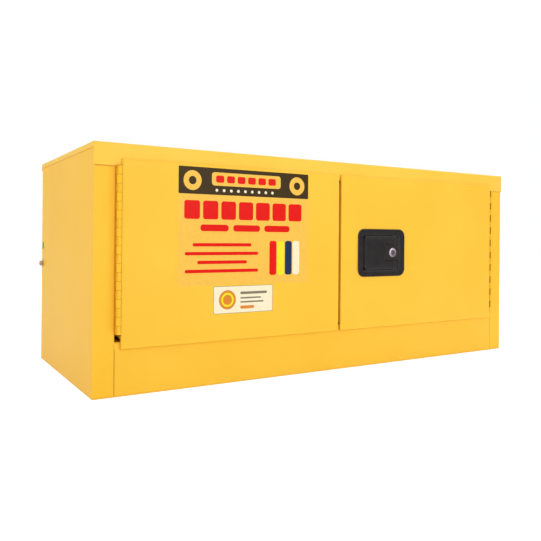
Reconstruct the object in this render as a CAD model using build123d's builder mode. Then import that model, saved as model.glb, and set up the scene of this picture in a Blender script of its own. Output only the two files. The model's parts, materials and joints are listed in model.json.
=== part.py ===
from build123d import *
import os
from math import cos, radians, sin, tan

# Flammable storage cabinet: a double-walled steel case with two doors on piano hinges.
# X runs across the front, -Y is the front, +Z is up. The origin is the centre of the base.
# All lengths are in millimetres.

# ---------------------------------------------------------------- driving dimensions
# Case
case_width = 1092.2
case_depth = 431.8
case_height = 457.2
sheet = 1.2
bend = 2.4  # outside radius of a fold
frame_width = 41.3  # posts and header, seen from the front
sill_height = 98.4
jamb_depth = 38.1  # how far the returns reach behind the posts
seam = 0.4  # gap at a welded seam between two folded ends
cap_flange = 10.0
cap_rear_flange = 16.0
cap_edge = 1.0  # rounding of the cap's two ends
rear_return = 20.0
weld_flange = 15.0
base_flange = 25.0

# Double wall
rear_air_gap = 38.1
floor_height = 41.3
sump_depth = 50.8
liner_lap = 12.0
channel_offset = 250.0
channel_width = 40.0
channel_bend = 1.8

# Shelf
standard_width = 18.0
standard_depth = 6.0
standard_offset = 125.0
standard_margin = 20.0
slot_pitch = 50.8
slot_height = 12.0
slot_width = 5.0
shelf_level = 225.0
shelf_depth = 330.0
shelf_flange = 22.0
shelf_hem = 10.0
shelf_side_gap = 3.5
bracket_reach = 14.0
bracket_height = 22.0
bracket_width = 14.0

# Doors
door_gap = 6.4  # between the two doors
door_proud = 6.0
door_overlap = 12.7
door_depth = 38.0
door_bend = 1.8
door_relief = 6.0  # from the opening's edge to the deep flanges
lip_gap = 0.3  # between a door's lip and the case
tray_flange = 12.0

# Piano hinges
hinge_proud = 4.0
hinge_edge_gap = 0.35  # between a barrel and the door's edge
hinge_length = 303.0
knuckle_count = 19
knuckle_gap = 0.3
hinge_pin_radius = 3.175
leaf = 1.5
leaf_width = 26.0
knuckle_curl = 300.0  # degrees that a knuckle is rolled round its pin
root_angle = 20.0  # where the curl starts, above the leaf's root
running = 0.05  # radial clearance of every turning fit
clear = 0.3  # between pieces that move past each other

# Latch bezel and paddle
bezel_width = 140.0
bezel_height = 108.2
bezel_corner = 17.0
bezel_setback = 46.8  # from the door's free edge
bezel_drop = 0.9  # below the door's middle
bezel_proud = 3.2
bezel_edge = 1.8
recess_width = 109.0
recess_height = 80.0
recess_corner = 5.0
recess_bevel = 2.8
recess_depth = 18.4
bezel_wall = 1.5
bezel_floor = 2.0
boss_width = 36.0
boss_height = 38.6
boss_sink = 0.4
boss_corner = 5.0
paddle_sink = 1.4
paddle_plate = 3.0
paddle_round = 1.0
paddle_lip = 5.0
finger_gap = 9.0
paddle_edge_gap = 1.2
paddle_axis_inset = 8.0
paddle_axis_sink = 7.9
paddle_pin_radius = 2.5
paddle_knuckle_radius = 4.2
paddle_angle = 22.0
tail_width = 5.0
tail_height = 8.0
tail_rise = 27.0
tail_room = 1.2  # round the tail in its slot

# Latch drive
case_plate = 2.0
case_bend = 2.2
case_wall_gap = 2.5
case_flange = 11.5
drive_plate = 3.0
layer_gap = 0.6
hub_setback = 58.8  # from the door's free edge
hub_radius = 9.0
hub_bore_radius = 4.0
hub_stud_head_radius = 6.4
hub_angle = 35.0
rod_arm = 22.0
arm_end_radius = 6.0
drive_pin_radius = 3.0
slot_clear = 0.35
rod_width = 14.0
rod_end = 5.5
rod_nose_radius = 4.6
bolt_height = 12.0
bolt_end = 6.0
bolt_nose_radius = 4.0
guide_length = 10.0
guide_wall = 4.0
guide_offset = 40.0
bolt_guide_offset = 17.0
link_height = 12.0
link_window_clear = 1.4
link_rim = 4.0
strike_clear = 1.5

# Lock
lock_offset = 35.0
lock_radius = 9.5
lock_flange_radius = 10.4
lock_flange = 1.5
lock_chamfer = 0.6
plug_radius = 6.5
plug_proud = 0.4
plug_chamfer = 0.2
keyway_width = 2.0
keyway_height = 9.0
keyway_depth = 6.0
lock_nut_flats = 24.0
lock_nut_height = 3.5
cam_length = 16.0
cam_thickness = 2.0
cam_radius = 6.5

# Bezel screws
screw_radius = 2.0
screw_head_flats = 7.0
screw_head = 2.4
screw_inset_x = 12.0
screw_inset_z = 4.2

# Vents
vent_inset = 116.0  # from the case's side to a vent's axis
vent_drop = 89.0  # from the case's top to the upper vent's axis
vent_rise = 125.0  # from the base to the lower vent's axis
vent_bore_radius = 26.2
vent_pipe_radius = 30.15
vent_flange_radius = 42.0
vent_flange = 3.0
vent_nut_radius = 38.0
vent_nut = 5.0
arrester = 3.0
arrester_hole = 6.0
arrester_pitch = 9.0
arrester_rows = 4
cap_radius = 34.0
cap_rim = 5.0
cap_chamfer = 1.25
cap_plug_length = 16.0
cap_wall = 3.0
cap_head_size = 24.0
cap_head = 7.6

# Ground stud
ground_setback = 14.7  # from the rear face
ground_level = 224.5
ground_radius = 3.175
ground_reach = 8.6  # past the wall
ground_nut_flats = 11.1
ground_nut_height = 5.6
ground_washer_radius = 8.0
ground_washer_thickness = 1.4
ground_head = 4.4
ground_chamfer = 0.5

# ---------------------------------------------------------------- derived places
half_width = case_width / 2
half_depth = case_depth / 2
wall_x = half_width - sheet
front_y = sheet - half_depth
rear_y = half_depth - sheet
deck_z = case_height - sheet
opening_x = half_width - frame_width
opening_top = case_height - frame_width
opening_bottom = sill_height
jamb_y = front_y + jamb_depth
back_y = rear_y - sheet  # outer face of the back panel
inside_x = opening_x + sheet  # inner face of the side liners
ceiling_z = opening_top + sheet
floor_z = floor_height
liner_y = back_y - sheet - rear_air_gap - sheet  # inner face of the back liner

door_face_y = -half_depth - door_proud
door_inner_y = door_face_y + sheet  # inner face of a door's skin
door_back_y = -half_depth + door_depth
door_free_x = door_gap / 2
bore_radius = hinge_pin_radius + running
barrel_radius = bore_radius + leaf
hinge_x = opening_x - barrel_radius
hinge_y = -half_depth - hinge_proud
door_edge_x = hinge_x - barrel_radius - hinge_edge_gap
door_top = opening_top + door_overlap
door_bottom = opening_bottom - door_overlap
door_middle_x = (door_edge_x + door_free_x) / 2
door_middle_z = (door_top + door_bottom) / 2
door_width = door_edge_x - door_free_x
door_height = door_top - door_bottom
tray_top = opening_top - door_relief
tray_bottom = opening_bottom + door_relief

hinge_top = opening_top - clear
hinge_bottom = hinge_top - hinge_length
knuckle_pitch = hinge_length / knuckle_count
leaf_notch = barrel_radius + clear

bezel_x = door_free_x + bezel_setback + bezel_width / 2
bezel_z = door_middle_z - bezel_drop
bezel_front_y = door_face_y - bezel_proud
pocket_y = door_face_y + recess_depth
boss_y = door_face_y + boss_sink
paddle_x = bezel_x + recess_width / 2 - paddle_axis_inset
paddle_y = door_face_y + paddle_axis_sink
paddle_front_y = door_face_y + paddle_sink
paddle_half = recess_height / 2 - paddle_edge_gap
tail_z = bezel_z + tail_rise
case_y = pocket_y + bezel_floor + case_plate  # rear face of the latch case
hub_y = case_y + layer_gap
rod_y = hub_y + drive_plate + layer_gap
link_y = rod_y + drive_plate + layer_gap
tray_y = door_back_y - sheet  # inner face of a door's inner tray
hub_x = door_free_x + hub_setback
lock_x = bezel_x + lock_offset
half_turn = radians(hub_angle / 2)
arm_x = rod_arm * cos(half_turn)
arm_z = rod_arm * sin(half_turn)
pull = tan(radians(paddle_angle))
link_travel = (link_y + drive_plate / 2 - paddle_y) * pull
link_arm = link_travel / (2 * sin(half_turn))
link_pin_x = hub_x + link_arm * sin(half_turn)
link_pin_z = bezel_z + link_arm * cos(half_turn)
pin_drift = rod_arm * (1 - cos(half_turn))
bolt_z = bezel_z - rod_arm + pin_drift / 2

vents = [(half_width - vent_inset, case_height - vent_drop), (vent_inset - half_width, vent_rise)]
ground_y = rear_y - ground_setback


# ---------------------------------------------------------------- shared shapes
def folded_section(points, inward=Side.LEFT, thickness=sheet, radius=bend):
    """Section of one folded sheet whose outer face follows the points."""
    with BuildSketch() as section:
        with BuildLine():
            FilletPolyline(*points, radius=radius)
            offset(amount=thickness, side=inward)
        make_face()
    return section.sketch


def across(y):
    """Plane across the case at depth y, seen from the front."""
    return Plane.XZ.offset(-y)


def slab(x_range, y_range, z_range):
    """Flat rectangular sheet or bar between the given limits."""
    (x0, x1), (y0, y1), (z0, z1) = x_range, y_range, z_range
    with BuildPart() as bar:
        with BuildSketch(Plane.XY.offset(z0)):
            with Locations(((x0 + x1) / 2, (y0 + y1) / 2)):
                Rectangle(x1 - x0, y1 - y0)
        extrude(amount=z1 - z0)
    return bar.part


def finish(builder, label):
    """Label a sub-part and write its STEP file."""
    builder.part.label = label
    export_step(builder.part, f"parts/{label}.step")


os.makedirs("parts", exist_ok=True)

# ---------------------------------------------------------------- outer case
# Cap: a lid with side flanges, a rear flange, the front fascia and the header's return.
cap_outline = [
    (half_depth, case_height - cap_rear_flange),
    (half_depth, case_height),
    (-half_depth, case_height),
    (-half_depth, opening_top),
]
return_x = opening_x - seam
upper_rod_x = hub_x - arm_x
lower_rod_x = hub_x + arm_x
rod_middle_y = rod_y + drive_plate / 2
strike_size = (rod_width + 2 * strike_clear, drive_plate + 2 * strike_clear)

with BuildPart() as top_cap:
    with BuildSketch(Plane.YZ.offset(-return_x)):
        add(folded_section(cap_outline + [(jamb_y, opening_top)]))
    extrude(amount=2 * return_x)
    with BuildSketch(Plane.YZ.offset(-half_width), Plane.YZ.offset(return_x)):
        add(folded_section(cap_outline))
    extrude(amount=half_width - return_x)
    with BuildSketch(Plane.YZ.offset(-half_width), Plane.YZ.offset(wall_x)):
        with Locations((0, case_height - cap_flange / 2)):
            Rectangle(case_depth, cap_flange)
        fillet(vertices().group_by(Axis.Y)[-1], bend)
    extrude(amount=sheet)
    top_edges = edges().filter_by(Axis.Y).group_by(Axis.Z)[-1].sort_by(Axis.X)
    fillet([top_edges[0], top_edges[-1]], cap_edge)
    with BuildSketch(Plane.XY.offset(opening_top)):
        with Locations((upper_rod_x, rod_middle_y)):
            Rectangle(*strike_size)
    extrude(amount=sheet, mode=Mode.SUBTRACT)
finish(top_cap, "top_cap")

# Side panels: rear return, wall, post and jamb return folded from one sheet.
wall_outline = [
    (rear_return - wall_x, rear_y),
    (-wall_x, rear_y),
    (-wall_x, front_y),
]
post_top = deck_z - bend


def side_wall():
    """One side of the case at -X, without holes."""
    with BuildPart() as wall:
        with BuildSketch():
            add(folded_section(wall_outline + [(-opening_x, front_y), (-opening_x, jamb_y)]))
        extrude(amount=ceiling_z)
        with BuildSketch(Plane.XY.offset(ceiling_z)):
            add(folded_section(wall_outline + [(-opening_x - bend, front_y)]))
        extrude(amount=post_top - ceiling_z)
        add(slab((-wall_x, sheet - wall_x), (front_y + bend, rear_y - bend), (post_top, deck_z)))
    return wall.part


with BuildPart() as left_side_panel:
    add(side_wall())
    with BuildSketch(Plane.YZ.offset(-wall_x)):
        with Locations((ground_y, ground_level)):
            Circle(ground_radius + clear)
    extrude(amount=sheet, mode=Mode.SUBTRACT)
finish(left_side_panel, "left_side_panel")

with BuildPart() as right_side_panel:
    mirror(side_wall(), about=Plane.YZ)
finish(right_side_panel, "right_side_panel")

# Sill: front face, top and the leak-proof upstand behind it.
with BuildPart() as front_base_panel:
    sill_outline = [(front_y, 0), (front_y, sill_height), (jamb_y, sill_height), (jamb_y, floor_z)]
    with BuildSketch(Plane.YZ.offset(-return_x)):
        add(folded_section(sill_outline, inward=Side.RIGHT))
    extrude(amount=2 * return_x)
    with BuildSketch(Plane.XY.offset(sill_height)):
        with Locations((lower_rod_x, rod_middle_y)):
            Rectangle(*strike_size)
    extrude(amount=-sheet, mode=Mode.SUBTRACT)
finish(front_base_panel, "front_base_panel")

# Back panel: a shallow pan between the side panels, with the two vent holes.
inner_wall_x = wall_x - sheet
with BuildPart() as back_panel:
    with BuildSketch(Plane.XY.offset(sheet)):
        add(folded_section([
            (inner_wall_x, back_y - base_flange),
            (inner_wall_x, back_y),
            (-inner_wall_x, back_y),
            (-inner_wall_x, back_y - base_flange),
        ]))
    extrude(amount=deck_z - sheet)
    with BuildSketch(across(back_y - sheet)):
        with Locations(*vents):
            Circle(vent_pipe_radius + clear)
    extrude(amount=-sheet, mode=Mode.SUBTRACT)
    with BuildSketch(Plane.YZ.offset(-inner_wall_x)):
        with Locations((ground_y, ground_level)):
            Circle(ground_radius + clear)
    extrude(amount=sheet, mode=Mode.SUBTRACT)
finish(back_panel, "back_panel")

# Bottom panel: a plate notched round the posts, with an upturned flange on each edge.
base_front_y = front_y + sheet
base_back_y = back_y - sheet
with BuildPart() as bottom_panel:
    with BuildSketch():
        with BuildLine():
            Polyline(
                (-return_x, base_front_y), (return_x, base_front_y), (return_x, jamb_y + seam),
                (inner_wall_x, jamb_y + seam), (inner_wall_x, base_back_y),
                (-inner_wall_x, base_back_y), (-inner_wall_x, jamb_y + seam),
                (-return_x, jamb_y + seam), close=True,
            )
        make_face()
    extrude(amount=sheet)
    flange_end_y = back_y - base_flange - seam
    with BuildSketch(Plane.XY.offset(sheet)):
        with Locations((0, base_front_y + sheet / 2)):
            Rectangle(2 * return_x, sheet)
        with Locations((0, base_back_y - sheet / 2)):
            Rectangle(2 * (inner_wall_x - bend), sheet)
        with Locations(*[(end * (inner_wall_x - sheet / 2), (jamb_y + seam + flange_end_y) / 2)
                         for end in (-1, 1)]):
            Rectangle(sheet, flange_end_y - jamb_y - seam)
    extrude(amount=base_flange - sheet)
finish(bottom_panel, "bottom_panel")

# ---------------------------------------------------------------- inner walls
outside_x = inside_x + sheet
liner_front_y = jamb_y - liner_lap
with BuildPart() as left_liner:
    add(slab((-outside_x, -inside_x), (liner_front_y, liner_y), (floor_z, ceiling_z)))
finish(left_liner, "left_liner")

with BuildPart() as right_liner:
    mirror(left_liner.part, about=Plane.YZ)
finish(right_liner, "right_liner")

with BuildPart() as back_liner:
    add(slab((-outside_x, outside_x), (liner_y, liner_y + sheet), (floor_z, ceiling_z)))
    with BuildSketch(across(liner_y)):
        with Locations(*vents):
            Circle(vent_pipe_radius + clear)
    extrude(amount=-sheet, mode=Mode.SUBTRACT)
finish(back_liner, "back_liner")

# Ceiling: lies on the header's return and on the side liners.
with BuildPart() as top_liner:
    add(slab((-outside_x, outside_x), (jamb_y, liner_y + sheet), (ceiling_z, ceiling_z + sheet)))
    add(slab((-return_x, return_x), (liner_front_y, jamb_y), (ceiling_z, ceiling_z + sheet)))
finish(top_liner, "top_liner")

# Leak-proof floor: a tray whose upturned rims stand outside the liners.
rim_x = outside_x + sheet
rim_y = liner_y + 2 * sheet
with BuildPart() as floor_pan:
    add(slab((-rim_x, rim_x), (jamb_y, rim_y), (floor_z - sheet, floor_z)))
    rim_top = floor_z + sump_depth - sheet
    for end in (-1, 1):
        x_range = sorted((end * outside_x, end * rim_x))
        add(slab(x_range, (jamb_y, rim_y), (floor_z, rim_top)))
    add(slab((-outside_x, outside_x), (liner_y + sheet, rim_y), (floor_z, rim_top)))
    add(slab((-inside_x, inside_x), (jamb_y, jamb_y + sheet), (floor_z, rim_top)))
finish(floor_pan, "floor_pan")

# Hat channels between the bottom panel and the floor.
with BuildPart() as floor_channels:
    hat = [
        (-channel_width / 2 - weld_flange, 2 * sheet),
        (-channel_width / 2, 2 * sheet),
        (-channel_width / 2, floor_z - sheet),
        (channel_width / 2, floor_z - sheet),
        (channel_width / 2, 2 * sheet),
        (channel_width / 2 + weld_flange, 2 * sheet),
    ]
    planes = [across(jamb_y + weld_flange).shift_origin((end * channel_offset, jamb_y + weld_flange, 0))
              for end in (-1, 1)]
    with BuildSketch(*planes):
        add(folded_section(hat, inward=Side.RIGHT, radius=channel_bend))
    extrude(amount=-(liner_y - jamb_y - 2 * weld_flange))
finish(floor_channels, "floor_channels")

# ---------------------------------------------------------------- shelf and its supports
standard_bottom = floor_z + standard_margin
standard_top = ceiling_z - standard_margin
standard_face_x = inside_x - standard_depth
slot_z = shelf_level - bracket_height / 2
slots_below = int((slot_z - standard_bottom - slot_height) / slot_pitch)
slots_above = int((standard_top - slot_height - slot_z) / slot_pitch)

with BuildPart() as shelf_standards:
    channel = [
        (-inside_x, -standard_width / 2),
        (-standard_face_x, -standard_width / 2),
        (-standard_face_x, standard_width / 2),
        (-inside_x, standard_width / 2),
    ]
    planes = [Plane((0, end * standard_offset, standard_bottom)) for end in (-1, 1)]
    with BuildSketch(*planes):
        add(folded_section(channel, radius=channel_bend))
    extrude(amount=standard_top - standard_bottom)
    with BuildSketch(Plane.YZ.offset(-standard_face_x)):
        with Locations(*[(end * standard_offset, slot_z + step * slot_pitch)
                         for end in (-1, 1) for step in range(-slots_below, slots_above + 1)]):
            Rectangle(slot_width, slot_height)
    extrude(amount=-sheet, mode=Mode.SUBTRACT)
    mirror(about=Plane.YZ)
finish(shelf_standards, "shelf_standards")

# Clips hooked into the slots: each carries one corner of the shelf on its ledge.
ledge_z = shelf_level - clear
with BuildPart() as shelf_brackets:
    planes = [across(end * standard_offset + bracket_width / 2)
              .shift_origin((0, end * standard_offset + bracket_width / 2, 0)) for end in (-1, 1)]
    with BuildSketch(*planes):
        with Locations((sheet / 2 - standard_face_x, ledge_z - bracket_height / 2)):
            Rectangle(sheet, bracket_height)
        with Locations((bracket_reach / 2 - standard_face_x, ledge_z - sheet / 2)):
            Rectangle(bracket_reach, sheet)
    extrude(amount=bracket_width)
    tongues = [across(end * standard_offset + slot_width / 2 - clear) for end in (-1, 1)]
    with BuildSketch(*tongues):
        with Locations((-standard_face_x - sheet, slot_z)):
            Rectangle(2 * sheet, slot_height - 2 * clear)
    extrude(amount=slot_width - 2 * clear)
    mirror(about=Plane.YZ)
finish(shelf_brackets, "shelf_brackets")

shelf_x = standard_face_x - shelf_side_gap
with BuildPart() as shelf:
    shelf_y = shelf_depth / 2
    shelf_top = shelf_level + sheet
    tray = [
        (shelf_y - shelf_hem, shelf_top - shelf_flange),
        (shelf_y, shelf_top - shelf_flange),
        (shelf_y, shelf_top),
        (-shelf_y, shelf_top),
        (-shelf_y, shelf_top - shelf_flange),
        (shelf_hem - shelf_y, shelf_top - shelf_flange),
    ]
    with BuildSketch(Plane.YZ.offset(-shelf_x)):
        add(folded_section(tray))
    extrude(amount=2 * shelf_x)
finish(shelf, "shelf")

# ---------------------------------------------------------------- piano hinges
knuckle_length = knuckle_pitch - knuckle_gap
knuckle_levels = [hinge_bottom + knuckle_pitch * step + knuckle_gap / 2 for step in range(knuckle_count)]
leaf_back_y = hinge_y + leaf_notch + leaf_width


def knuckle_section(root_x, start, turn):
    """Section of a knuckle: its root on the leaf, and the sheet curled round the pin."""
    with BuildSketch() as section:
        with BuildLine():
            outer = CenterArc((-hinge_x, hinge_y), barrel_radius, start, turn)
            inner = CenterArc((-hinge_x, hinge_y), bore_radius, start, turn)
            Line(outer @ 0, inner @ 0)
            Line(outer @ 1, inner @ 1)
        make_face()
        with Locations((root_x, hinge_y)):
            Rectangle(leaf, leaf_notch, align=Align.MIN)
    return section.sketch


def hinge_leaf(root_x, start, turn, levels):
    """Leaf of the left hinge with its knuckles at the given levels."""
    with BuildPart() as piece:
        add(slab((root_x, root_x + leaf), (hinge_y + leaf_notch, leaf_back_y), (hinge_bottom, hinge_top)))
        with BuildSketch(*[Plane.XY.offset(level) for level in levels]):
            add(knuckle_section(root_x, start, turn))
        extrude(amount=knuckle_length)
    return piece.part


def door_leaf():
    """Door's leaf of the left hinge, on the odd knuckles."""
    return hinge_leaf(-door_edge_x - leaf, root_angle, -knuckle_curl, knuckle_levels[1::2])


def frame_leaf():
    """Frame's leaf of the left hinge, on the even knuckles."""
    return hinge_leaf(-opening_x, 180 - root_angle, knuckle_curl, knuckle_levels[0::2])


with BuildPart() as left_frame_leaf:
    add(frame_leaf())
finish(left_frame_leaf, "left_frame_leaf")

with BuildPart() as right_frame_leaf:
    mirror(frame_leaf(), about=Plane.YZ)
finish(right_frame_leaf, "right_frame_leaf")

with BuildPart() as left_door_leaf:
    add(door_leaf())
finish(left_door_leaf, "left_door_leaf")

with BuildPart() as right_door_leaf:
    mirror(door_leaf(), about=Plane.YZ)
finish(right_door_leaf, "right_door_leaf")

with BuildPart() as left_hinge_pin:
    with BuildSketch(Plane.XY.offset(hinge_bottom)):
        with Locations((-hinge_x, hinge_y)):
            Circle(hinge_pin_radius)
    extrude(amount=hinge_length)
finish(left_hinge_pin, "left_hinge_pin")

with BuildPart() as right_hinge_pin:
    mirror(left_hinge_pin.part, about=Plane.YZ)
finish(right_hinge_pin, "right_hinge_pin")

# ---------------------------------------------------------------- doors
def door_block(inset, radius):
    """Block of the left door's outline, inset all round, with its front edges rounded."""
    with BuildPart() as block:
        with BuildSketch(across(-half_depth - lip_gap)):
            with Locations((-door_middle_x, door_middle_z)):
                Rectangle(door_width - 2 * inset, door_height - 2 * inset)
        extrude(amount=door_proud - lip_gap - inset)
        fillet(faces().sort_by(Axis.Y)[0].edges(), radius)
    return block.part


def door_shell():
    """Outer pan of the left door: face, short lips, and deep flanges between the overlaps."""
    with BuildPart() as pan:
        add(door_block(0, door_bend))
        add(door_block(sheet, door_bend - sheet), mode=Mode.SUBTRACT)
        for x_range in ((-door_edge_x, sheet - door_edge_x), (-door_free_x - sheet, -door_free_x)):
            add(slab(x_range, (-half_depth - lip_gap, door_back_y), (tray_bottom, tray_top)))
    return pan.part


def door_tray():
    """Inner pan of the left door, folded from one sheet and closed by the shell's flanges."""
    with BuildPart() as pan:
        outline = [
            (door_inner_y, tray_top - tray_flange),
            (door_inner_y, tray_top),
            (door_back_y, tray_top),
            (door_back_y, tray_bottom),
            (door_inner_y, tray_bottom),
            (door_inner_y, tray_bottom + tray_flange),
        ]
        with BuildSketch(Plane.YZ.offset(sheet - door_edge_x)):
            add(folded_section(outline, inward=Side.RIGHT))
        extrude(amount=door_width - 2 * sheet)
        for x_range in ((sheet - door_edge_x, door_bend - door_edge_x),
                        (-door_free_x - door_bend, -door_free_x - sheet)):
            add(slab(x_range, (door_inner_y, door_face_y + door_bend), (tray_bottom, tray_top)),
                mode=Mode.SUBTRACT)
    return pan.part


def bolt_slot(x):
    """Slot through a free-edge flange at x for the centre bolt."""
    with BuildPart() as slot:
        with BuildSketch(Plane.YZ.offset(x)):
            with Locations((rod_middle_y, bolt_z)):
                Rectangle(drive_plate + 2 * strike_clear, bolt_height + 2 * strike_clear)
        extrude(amount=sheet)
    return slot.part


with BuildPart() as left_door_shell:
    add(door_shell())
    add(bolt_slot(-door_free_x - sheet), mode=Mode.SUBTRACT)
finish(left_door_shell, "left_door_shell")

with BuildPart() as left_door_liner:
    add(door_tray())
finish(left_door_liner, "left_door_liner")

pocket_width = recess_width + 2 * bezel_wall
pocket_height = recess_height + 2 * bezel_wall
screw_x = bezel_width / 2 - screw_inset_x
screw_z = bezel_height / 2 - screw_inset_z
screw_places = [(bezel_x + i * screw_x, bezel_z + j * screw_z) for i in (-1, 1) for j in (-1, 1)]

with BuildPart() as right_door_shell:
    mirror(door_shell(), about=Plane.YZ)
    add(bolt_slot(door_free_x), mode=Mode.SUBTRACT)
    with BuildSketch(across(door_face_y)):
        with Locations((bezel_x, bezel_z)):
            RectangleRounded(pocket_width + 2 * clear, pocket_height + 2 * clear, recess_corner + bezel_wall)
        with Locations(*screw_places):
            Circle(screw_radius + clear)
    extrude(amount=-sheet, mode=Mode.SUBTRACT)
finish(right_door_shell, "right_door_shell")

with BuildPart() as right_door_liner:
    mirror(door_tray(), about=Plane.YZ)
    with BuildSketch(Plane.XY.offset(tray_top)):
        with Locations((upper_rod_x, rod_middle_y)):
            Rectangle(rod_width + 2 * slot_clear, drive_plate + 2 * slot_clear)
    extrude(amount=-sheet, mode=Mode.SUBTRACT)
    with BuildSketch(Plane.XY.offset(tray_bottom)):
        with Locations((lower_rod_x, rod_middle_y)):
            Rectangle(rod_width + 2 * slot_clear, drive_plate + 2 * slot_clear)
    extrude(amount=sheet, mode=Mode.SUBTRACT)
finish(right_door_liner, "right_door_liner")

# ---------------------------------------------------------------- paddle latch
tail_swing = (case_y - paddle_y) * pull  # how far the tail moves at the latch case
tail_slot = (tail_width + tail_swing + 2 * tail_room, tail_height + 2 * tail_room)
tail_slot_x = paddle_x - tail_swing / 2
pin_inset = boss_height / 2 - boss_corner  # from the bezel's middle to a pin's inner end
pin_levels = [Plane.XY.offset(bezel_z + pin_inset), Plane.XY.offset(bezel_z - pocket_height / 2)]

# Bezel: a moulded flange with a deep recess and a boss for the lock.
with BuildPart() as latch_bezel:
    with BuildSketch(across(door_face_y)):
        with Locations((bezel_x, bezel_z)):
            RectangleRounded(bezel_width, bezel_height, bezel_corner)
    extrude(amount=bezel_proud)
    fillet(edges().group_by(Axis.Y)[0], bezel_edge)
    with BuildSketch(across(pocket_y + bezel_floor)):
        with Locations((bezel_x, bezel_z)):
            RectangleRounded(pocket_width, pocket_height, recess_corner + bezel_wall)
    extrude(amount=recess_depth + bezel_floor)
    with BuildSketch(across(bezel_front_y)):
        with Locations((bezel_x, bezel_z)):
            RectangleRounded(recess_width, recess_height, recess_corner)
    extrude(amount=-(recess_depth + bezel_proud), mode=Mode.SUBTRACT)
    chamfer(faces().sort_by(Axis.Y)[0].inner_wires()[0].edges(), recess_bevel)
    with BuildSketch(across(pocket_y)):
        with Locations((lock_x, bezel_z)):
            RectangleRounded(boss_width, boss_height, boss_corner)
    extrude(amount=pocket_y - boss_y)
    with BuildSketch(across(pocket_y)):
        with Locations((tail_slot_x, tail_z)):
            Rectangle(*tail_slot)
    extrude(amount=-bezel_floor, mode=Mode.SUBTRACT)
    with BuildSketch(across(boss_y)):
        with Locations((lock_x, bezel_z)):
            Circle(lock_radius + running)
    extrude(amount=-(recess_depth + bezel_floor), mode=Mode.SUBTRACT)
    with BuildSketch(*pin_levels):
        with Locations((paddle_x, paddle_y)):
            Circle(paddle_pin_radius)
    extrude(amount=pocket_height / 2 - pin_inset, mode=Mode.SUBTRACT)
    with BuildSketch(across(door_face_y)):
        with Locations(*screw_places):
            Circle(screw_radius + running)
    extrude(amount=bezel_proud / 2, mode=Mode.SUBTRACT)
finish(latch_bezel, "latch_bezel")

# Paddle: a pressed plate round the lock's boss, with two knuckles and a driving tail.
paddle_left = bezel_x - recess_width / 2 + finger_gap
paddle_right = paddle_x + paddle_knuckle_radius
arm_bottom = boss_height / 2 + paddle_edge_gap
with BuildPart() as latch_paddle:
    with BuildSketch(across(paddle_front_y)):
        with Locations(((paddle_left + paddle_right) / 2, bezel_z)):
            RectangleRounded(paddle_right - paddle_left, 2 * paddle_half, recess_corner - paddle_edge_gap)
        with Locations((paddle_right, bezel_z)):
            notch_width = 2 * (paddle_right - lock_x + boss_width / 2 + paddle_edge_gap)
            Rectangle(notch_width, 2 * arm_bottom, mode=Mode.SUBTRACT)
    extrude(amount=-paddle_plate)
    fillet(edges().group_by(Axis.Y)[0].filter_by(Axis.Z).sort_by(Axis.X)[0], paddle_round)
    lip_y = paddle_front_y + paddle_plate
    add(slab((paddle_left, paddle_left + paddle_plate), (lip_y, lip_y + paddle_lip),
             (bezel_z - paddle_half + recess_corner, bezel_z + paddle_half - recess_corner)))
    knuckle = paddle_half - arm_bottom
    with BuildSketch(Plane.XY.offset(bezel_z + arm_bottom), Plane.XY.offset(bezel_z - paddle_half)):
        with Locations((paddle_x, paddle_y)):
            Circle(paddle_knuckle_radius)
        with Locations((paddle_x, (paddle_y + lip_y) / 2)):
            Rectangle(2 * paddle_knuckle_radius, paddle_y - lip_y)
    extrude(amount=knuckle)
    tail_end_y = link_y + drive_plate + 2 * layer_gap
    add(slab((paddle_x - tail_width / 2, paddle_x + tail_width / 2), (paddle_y, tail_end_y),
             (tail_z - tail_height / 2, tail_z + tail_height / 2)))
    with BuildSketch(Plane.XY.offset(bezel_z - paddle_half)):
        with Locations((paddle_x, paddle_y)):
            Circle(paddle_pin_radius + running)
    extrude(amount=2 * paddle_half, mode=Mode.SUBTRACT)
finish(latch_paddle, "latch_paddle")

with BuildPart() as paddle_pins:
    with BuildSketch(*pin_levels):
        with Locations((paddle_x, paddle_y)):
            Circle(paddle_pin_radius)
    extrude(amount=pocket_height / 2 - pin_inset)
finish(paddle_pins, "paddle_pins")

# Latch case: a channel behind the bezel that carries the drive and clamps the bezel.
channel_x0 = hub_x - hub_radius - arm_end_radius
channel_x1 = bezel_x + bezel_width / 2
with BuildPart() as latch_case:
    base_y = pocket_y + bezel_floor
    wall_z = pocket_height / 2 + case_wall_gap
    case_outline = [
        (door_inner_y, bezel_z - wall_z - case_flange),
        (door_inner_y, bezel_z - wall_z),
        (base_y, bezel_z - wall_z),
        (base_y, bezel_z + wall_z),
        (door_inner_y, bezel_z + wall_z),
        (door_inner_y, bezel_z + wall_z + case_flange),
    ]
    with BuildSketch(Plane.YZ.offset(channel_x0)):
        add(folded_section(case_outline, Side.RIGHT, case_plate, case_bend))
    extrude(amount=channel_x1 - channel_x0)
    with BuildSketch(across(case_y)):
        with Locations((lock_x, bezel_z)):
            Circle(lock_radius + clear)
        with Locations((tail_slot_x, tail_z)):
            Rectangle(*tail_slot)
    extrude(amount=case_plate, mode=Mode.SUBTRACT)
    with BuildSketch(across(door_inner_y + case_plate)):
        with Locations(*screw_places):
            Circle(screw_radius + clear)
    extrude(amount=case_plate, mode=Mode.SUBTRACT)
finish(latch_case, "latch_case")

with BuildPart() as bezel_screws:
    with BuildSketch(across(door_inner_y + case_plate)):
        with Locations(*screw_places):
            Circle(screw_radius)
    extrude(amount=case_plate + sheet + bezel_proud / 2)
    with BuildSketch(across(door_inner_y + case_plate)):
        with Locations(*screw_places):
            RegularPolygon(screw_head_flats / 2, 6, major_radius=False)
    extrude(amount=-screw_head)
finish(bezel_screws, "bezel_screws")

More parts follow.
